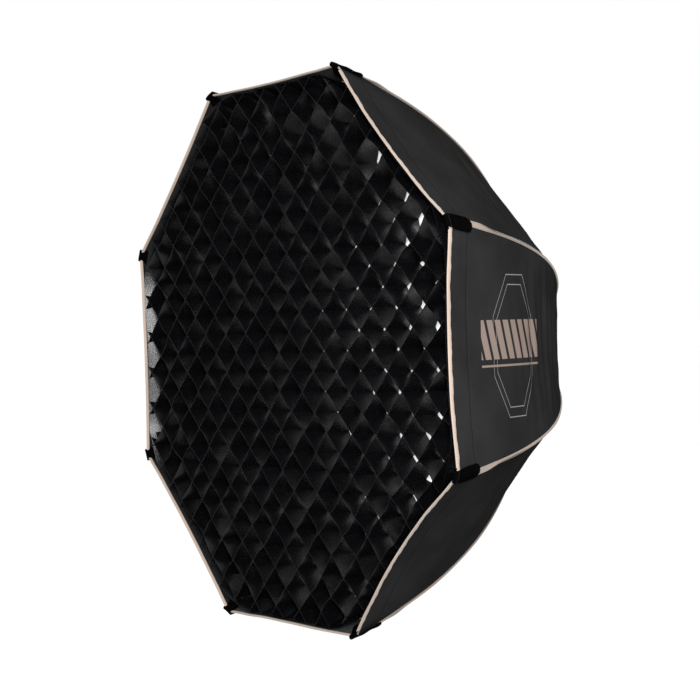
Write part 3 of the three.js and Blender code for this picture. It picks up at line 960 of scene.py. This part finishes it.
def make_diffuser(name, cut, sag):
    """A white sheet with a narrow hem, which dips a little towards the lamp in its middle."""
    low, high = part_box(name)
    y = (low.y + high.y) / 2
    outline = flat_ring(inside_outline(y, 0.003, cut, 10))
    rings = np.linspace(0, 1, 22)[1:]
    count = len(outline)

    def layer(offset):
        made = [np.array([[0, y + sag + offset, 0]])]
        for k in rings:
            dip = sag * (1 - k**2) + 0.0008 * np.sin(np.arange(count) * 0.7 + 9 * k) * k * (1 - k) * 4
            made.append(outline * k + (BACK * (y + offset)) + dip[:, None] * BACK)
        return np.concatenate(made)

    verts = np.concatenate([layer(-0.0003), layer(0.0003)])
    half = len(verts) // 2
    last = 1 + (len(rings) - 1) * count
    faces = []
    for m in range(count):
        n = (m + 1) % count
        faces += [[0, 1 + m, 1 + n], [half, half + 1 + n, half + 1 + m]]
        for a in range(1, last, count):
            b, c = a + count, a + half
            faces += [[a + m, b + m, b + n, a + n], [c + m, c + n, b + half + n, b + half + m]]
        faces.append([last + n, last + m, half + last + m, half + last + n])
    faces = outward(verts - verts.mean(0), faces)
    piece = make_object(name + "_cloth", verts, faces, [DIFFUSER_PAINTED_GLOW], None, verts[:, [0, 2]])
    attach(piece, name)
    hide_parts(name)
    inwards = -unit(outline)
    sections = np.stack([outline + inwards * a + BACK * (y + b) for a, b in HEM], 1)
    hem = sweep_object(name + "_hem", sections, [LOOP_TAPE], closed_path=True)
    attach(hem, name)


# ---- turned parts
LOBES, LOBE_SHARE = 6, 0.10  # round the lock knob, and how far they stand out as a share of its radius
CROSS_Y = -0.015  # the axis of the lock knob and the release buttons
WIRE_R = 0.0018


def rounded(points, radius, steps=3):
    """A closed polygon's points with each corner rounded to a small arc."""
    made = []
    for n, p in enumerate(points):
        p = np.array(p, float)
        a = np.array(points[n - 1], float) - p
        b = np.array(points[(n + 1) % len(points)], float) - p
        size = min(radius, 0.45 * np.linalg.norm(a), 0.45 * np.linalg.norm(b))
        start, end = p + unit(a) * size, p + unit(b) * size
        for u in np.linspace(0, 1, steps + 1):
            made.append((1 - u) ** 2 * start + 2 * u * (1 - u) * p + u**2 * end)
    return np.array(made)


def lathe_sections(profile, segments=96, start=0.0, sweep_angle=2 * math.pi):
    """Sections of a ring about the Y axis, from its profile in radius and Y."""
    full = abs(sweep_angle - 2 * math.pi) < 1e-9
    angles = start + np.linspace(0, sweep_angle, segments + (0 if full else 1), endpoint=not full)
    made = np.zeros((len(angles), len(profile), 3))
    made[..., 0] = np.cos(angles)[:, None] * profile[None, :, 0]
    made[..., 1] = profile[None, :, 1]
    made[..., 2] = np.sin(angles)[:, None] * profile[None, :, 0]
    return made


def ring_object(name, points, material, edge=0.0006, segments=96):
    profile = rounded(points, edge)
    return sweep_object(name, lathe_sections(profile, segments), [material], closed_path=True)


def placed(piece, matrix):
    piece.data.transform(matrix)
    return piece


def radial_matrix(azimuth, y):
    """Takes a shape turned about the Z axis to one turned about the spoke at an azimuth."""
    outwards, tangent = spoke(azimuth)
    made = Matrix.Identity(4)
    for c, column in enumerate((tangent, BACK, outwards)):
        for r in range(3):
            made[r][c] = column[r]
    made[1][3] = y
    return made


def turned_object(name, profile, material, segments, lobed=False):
    """A solid turned about the Z axis from radius and height, with both ends on the axis."""
    angles = around(segments)
    lobe = LOBE_SHARE * np.cos(LOBES * angles) if lobed else 0 * angles
    rows = []
    for r, z in profile:
        reach = r * (1 + lobe * min(1.0, r / 0.010))
        rows.append(np.stack([reach * np.cos(angles), reach * np.sin(angles), z + 0 * angles], -1))
    return sweep_object(name, np.stack(rows), [material])


def make_bayonet():
    body = ring_object(
        "bayonet_body",
        [(0.050, -0.054), (0.0565, -0.054), (0.0565, -0.008), (0.072, -0.008), (0.072, 0.0),
         (0.053, 0.0), (0.053, 0.012), (0.050, 0.012)],
        ALUMINIUM,
    )
    parts = [body]
    for n in range(3):
        lug = rounded([(0.0515, 0.008), (0.060, 0.008), (0.060, 0.012), (0.0515, 0.012)], 0.0006)
        middle = n * 2 * math.pi / 3
        sections = lathe_sections(lug, 24, -middle - math.radians(18), math.radians(36))
        parts.append(sweep_object(f"lug_{n}", sections, [ALUMINIUM]))
    piece = joined("bayonet", parts)
    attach(piece, "mount")
    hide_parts("bayonet_ring")
    held = ring_object(
        "retainer",
        [(0.0568, -0.0537), (0.063, -0.0537), (0.063, -0.0503), (0.0568, -0.0503)], STEEL, 0.0004,
    )
    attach(held, "mount")
    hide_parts("retaining_ring")


def bevelled_box(name, low, high, material, radius):
    """A block with rounded edges along one axis, turned about Y later."""
    outline = rounded([(low[0], low[2]), (high[0], low[2]), (high[0], high[2]), (low[0], high[2])], radius, 4)
    levels = [(low[1], 0.0008), (low[1] + 0.0008, 0.0), (high[1] - 0.0008, 0.0), (high[1], 0.0008)]
    middle = outline.mean(0)
    rows = []
    for y, inset in levels:
        ring = outline + unit(middle - outline) * inset
        rows.append(np.stack([ring[:, 0], np.full(len(ring), y), ring[:, 1]], -1))
    return sweep_object(name, np.stack(rows), [material])


def make_hub():
    parts = [
        ring_object(
            "hub_ring",
            [(0.057, -0.050), (0.063, -0.050), (0.063, -0.022), (0.088, -0.022), (0.088, -0.0084),
             (0.057, -0.0084)],
            BLACK_PLASTIC, 0.0010,
        )
    ]
    for n in range(SIDES):
        post = bevelled_box(
            f"post_{n}", (0.062, -0.050, -0.012), (0.0865, -0.0225, 0.012), BLACK_PLASTIC, 0.003
        )
        parts.append(placed(post, Matrix.Rotation(-n * 2 * HALF_SIDE, 4, "Y")))
    for azimuth in (0.0, math.pi):
        bezel = [(0.0056, 0.0862), (0.0078, 0.0862), (0.0078, 0.0888), (0.0066, 0.0897), (0.0056, 0.0893)]
        section = rounded(bezel, 0.0004)
        rows = [
            np.stack([section[:, 0] * math.cos(a), section[:, 0] * math.sin(a), section[:, 1]], -1)
            for a in around(40)
        ]
        bezel_ring = sweep_object("bezel", np.stack(rows), [BLACK_PLASTIC], closed_path=True)
        parts.append(placed(bezel_ring, radial_matrix(azimuth, CROSS_Y)))
    piece = joined("hub_casting", parts)
    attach(piece, "hub")
    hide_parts("hub_body")
    cover = ring_object(
        "hub_cover_ring",
        [(0.073, -0.0081), (0.089, -0.0081), (0.089, -0.0068), (0.0878, -0.0056), (0.0742, -0.0056),
         (0.073, -0.0066)],
        BLACK_PLASTIC, 0.0005,
    )
    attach(cover, "hub")
    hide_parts("hub_rear_cover")


def make_wire():
    """The hinge wire: eight straight stretches joined by small bends."""
    corners = [spoke(n * 2 * HALF_SIDE)[0] * PIVOT_R / math.cos(HALF_SIDE) for n in range(SIDES)]
    line = rounded([(c[0], c[2]) for c in corners], 0.006, 6)
    centre = np.stack([line[:, 0], np.full(len(line), PIVOT_Y), line[:, 1]], -1)
    along = unit(np.roll(centre, -1, 0) - np.roll(centre, 1, 0))
    side = np.cross(along, BACK)
    sections = tube(centre, side, BACK, WIRE_R, 14)
    piece = sweep_object("wire_ring", sections, [STEEL], closed_path=True)
    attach(piece, "hub")
    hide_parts("hinge_wire")


def make_cover_screw(number):
    """A pan-head screw with a hexagon socket."""
    low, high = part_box(f"cover_screw_{number}")
    middle = (low + high) / 2
    head = high.y - 0.0017
    profile = [(0.0, low.y), (0.0013, low.y), (0.0015, low.y + 0.0004), (0.0015, head)]
    profile += [(0.0031, head), (0.0032, head + 0.0003), (0.0031, head + 0.0009)]
    profile += [(0.0026, high.y - 0.0001), (0.0020, high.y), (0.0013, high.y)]
    profile += [(0.0012, high.y - 0.0002), (0.0012, high.y - 0.0012), (0.0, high.y - 0.0013)]
    angles = around(36)
    hexagon = math.cos(math.pi / 6) / np.cos(angles % (math.pi / 3) - math.pi / 6)
    socket_from = 9  # the profile's first point in the hexagon socket
    rows = []
    for n, (r, y) in enumerate(profile):
        reach = r * (hexagon if n >= socket_from else 1)
        x, z = middle.x + reach * np.cos(angles), middle.z + reach * np.sin(angles)
        rows.append(np.stack([x, y + 0 * angles, z], -1))
    piece = sweep_object(f"cover_screw_{number}_steel", np.stack(rows), [STEEL])
    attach(piece, "hub")
    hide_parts(f"cover_screw_{number}")


def make_knob():
    azimuth = -math.pi / 4
    place = radial_matrix(azimuth, CROSS_Y)
    profile = [
        (0.0, 0.1), (0.0075, 0.1), (0.0085, 0.1003), (0.0088, 0.1018), (0.0112, 0.1026), (0.0122, 0.1036),
        (0.0126, 0.1055), (0.0127, 0.1130), (0.0122, 0.1158), (0.0110, 0.1174), (0.0090, 0.1180),
        (0.0070, 0.1178), (0.0060, 0.1172), (0.0, 0.1170),
    ]
    piece = placed(turned_object("lock_knob", profile, KNOB_PLASTIC, 96, lobed=True), place)
    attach(piece, "lock_knob")
    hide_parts("rotation_lock_knob")
    thread = [(0.0, 0.0573), (0.0026, 0.0573)]
    pitch = 0.001
    for n in range(int((0.1 - 0.0578) / pitch)):
        z = 0.0578 + n * pitch
        thread += [(0.0026, z), (0.0030, z + pitch / 2)]
    thread += [(0.0029, 0.1005), (0.0, 0.1005)]
    screw = placed(turned_object("lock_thread", thread, STEEL, 24), place)
    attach(screw, "lock_knob")
    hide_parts("lock_screw")


def make_button(azimuth, side):
    profile = [(0.0, 0.080), (0.005, 0.080), (0.005, 0.0918), (0.0046, 0.0926), (0.0038, 0.0930)]
    profile += [(0.0026, 0.0929), (0.0012, 0.0925), (0.0, 0.0924)]
    piece = placed(
        turned_object(f"button_{side}", profile, KNOB_PLASTIC, 40), radial_matrix(azimuth, CROSS_Y)
    )
    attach(piece, f"button_{side}")
    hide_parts(f"release_button_{side}")


def make_rear_collar():
    """A gathered nylon collar, from an elastic hem on the hub out over the canopy's rear edge."""
    angles = around(240)
    folds = np.sin(angles * 40 + 1.3 * np.sin(angles * 5)) * 0.6 + np.sin(angles * 23 + 2) * 0.4
    line = [
        (0.0879, -0.0195), (0.0897, -0.0192), (0.0915, -0.0212), (0.0930, -0.0235), (0.0960, -0.0275),
        (0.0995, -0.0312), (0.1030, -0.0343), (0.1062, -0.0368),
    ]
    rows = []
    for k, (r, y) in enumerate(line):
        lift = 0.0010 * math.sin(math.pi * k / len(line)) * folds
        rows.append(np.stack([(r + lift) * np.cos(angles), y + lift, (r + lift) * np.sin(angles)], -1))
    outer = np.stack(rows, 1)
    inner = outer - np.array([0, 0.0009, 0]) - 0.0004 * unit(outer * [1, 0, 1])
    sections = np.concatenate([outer, inner[:, ::-1]], 1)
    piece = sweep_object("hub_collar", sections, [NYLON], closed_path=True)
    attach(piece, "hub")
    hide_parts("rear_collar")


# ---- ribs
ROD_FROM, ROD_TO = 0.018, 0.967  # along the seam's curve
ROD_R = 0.003


def make_rib(number):
    outwards, tangent = spoke(rib_azimuth(number))
    t = np.linspace(ROD_FROM, ROD_TO, 64)
    s = np.interp(t, RIB_LINE.t, RIB_LINE.s)
    p, normal, _ = RIB_LINE.at(s)
    up = in_plane(normal, outwards)
    centre = in_plane(p, outwards) - RIB_INSET * up
    radius = np.full(len(t), ROD_R)
    radius[0] = 0.6 * ROD_R
    rod = sweep_object(f"rib_rod_{number}", tube(centre, up, tangent, radius, 16), [FIBREGLASS])
    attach(rod, f"rib_{number}")
    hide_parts(f"rib_{number}")
    make_socket(number, outwards, tangent)


def make_socket(number, outwards, tangent):
    """The rib's socket: a round barrel with a collar at its mouth and a boss round the hinge wire."""
    axis = outwards * math.sin(HUB_ANGLE) - BACK * math.cos(HUB_ANGLE)
    up = outwards * math.cos(HUB_ANGLE) + BACK * math.sin(HUB_ANGLE)
    pivot = outwards * PIVOT_R + BACK * PIVOT_Y
    line = np.array([
        (-0.0065, 0.0), (-0.0064, 0.0030), (-0.0058, 0.0046), (-0.0045, 0.0054), (0.006, 0.0055),
        (0.008, 0.0051), (0.024, 0.0049), (0.026, 0.0055), (0.0330, 0.0055), (0.0338, 0.0050),
        (0.0340, 0.0044), (0.0338, 0.0034), (0.0330, 0.0031), (0.0320, 0.0),
    ])
    sections = tube(pivot + line[:, :1] * axis, up, tangent, line[:, 1], 28)
    barrel = sweep_object(f"barrel_{number}", sections, [BLACK_PLASTIC])
    half = [(0.0062, 0.0024), (0.0064, 0.0034), (0.0060, 0.0038)]
    line = np.array([(-d, r) for d, r in half] + half[::-1])
    sections = tube(pivot + line[:, :1] * tangent, up, axis, line[:, 1], 28)
    boss = sweep_object(f"boss_{number}", sections, [BLACK_PLASTIC])
    piece = joined(f"socket_{number}", [barrel, boss])
    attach(piece, f"rib_{number}")
    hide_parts(f"rib_socket_{number}")


# ---- camera, light and floor
def make_camera():
    """The photograph's viewpoint, from the front and to the softbox's right."""
    right = Vector((0.59195, 0.80526, -0.03396))
    forward = Vector((-0.80588, 0.59202, -0.00915))
    up = Vector((0.01274, 0.03279, 0.99938))
    data = bpy.data.cameras.new("camera")
    data.sensor_width = 36  # millimetres, as the lens
    data.lens = 89.26
    camera = add_object("camera", data)
    made = Matrix.Identity(4)
    for r in range(3):
        made[r][0], made[r][1], made[r][2] = right[r], up[r], -forward[r]
    made.translation = Vector((2.20189, -1.98478, 0.02416))
    camera.matrix_world = made
    bpy.context.scene.camera = camera


KEY_PLACE, KEY_AIM = Vector((2.3, -2.0, 0.45)), Vector((0, -0.3, 0))
KEY_SIDE, KEY_WATTS, KEY_SPREAD = 0.8, 21, math.radians(50)
FLOOR_DROP = 0.60  # below the softbox
FLOOR_REACH = 60.0


def add_key_light():
    data = bpy.data.lights.new("key", "AREA")
    data.shape = "RECTANGLE"
    data.size = data.size_y = KEY_SIDE
    data.energy = KEY_WATTS
    data.spread = KEY_SPREAD
    light = add_object("key", data)
    light.location = KEY_PLACE
    light.rotation_euler = (KEY_AIM - KEY_PLACE).to_track_quat("-Z", "Y").to_euler()


def make_studio():
    """One narrow key light, a white world and a white paper floor."""
    world = bpy.data.worlds.new("studio")
    bpy.context.scene.world = world
    world.use_nodes = True
    background = world.node_tree.nodes["Background"]
    background.inputs[0].default_value = (1, 1, 1, 1)
    background.inputs[1].default_value = 1.0
    add_key_light()
    bpy.context.scene.view_settings.view_transform = "Standard"
    z = CAD_BOX[0].z - FLOOR_DROP
    paper = cloth_material("floor_paper", (0.96, 0.96, 0.96), rough=0.9, vary=0.01)
    add_glow(paper, 0.16)
    corners = [(x * FLOOR_REACH, y * FLOOR_REACH) for x, y in ((-1, -1), (1, -1), (1, 1), (-1, 1))]
    floor = make_object("floor", [(x, y, z) for x, y in corners], [(0, 1, 2, 3)], [paper], None, corners)


# ---- build
make_camera()
make_studio()
for number in range(1, SIDES + 1):
    for letter in ("a", "b"):
        make_half_panel(number, letter)
        make_rim_tape(number, letter)
    make_seam(number)
    make_cap(number)
    make_rib(number)
make_grid()
make_diffuser("front_diffuser", cut=0.416, sag=0.003)
make_diffuser("inner_diffuser", cut=0.342, sag=0.006)
make_bayonet()
make_hub()
make_wire()
for number in range(1, 5):
    make_cover_screw(number)
make_knob()
make_button(0.0, "left")
make_button(math.pi, "right")
make_rear_collar()
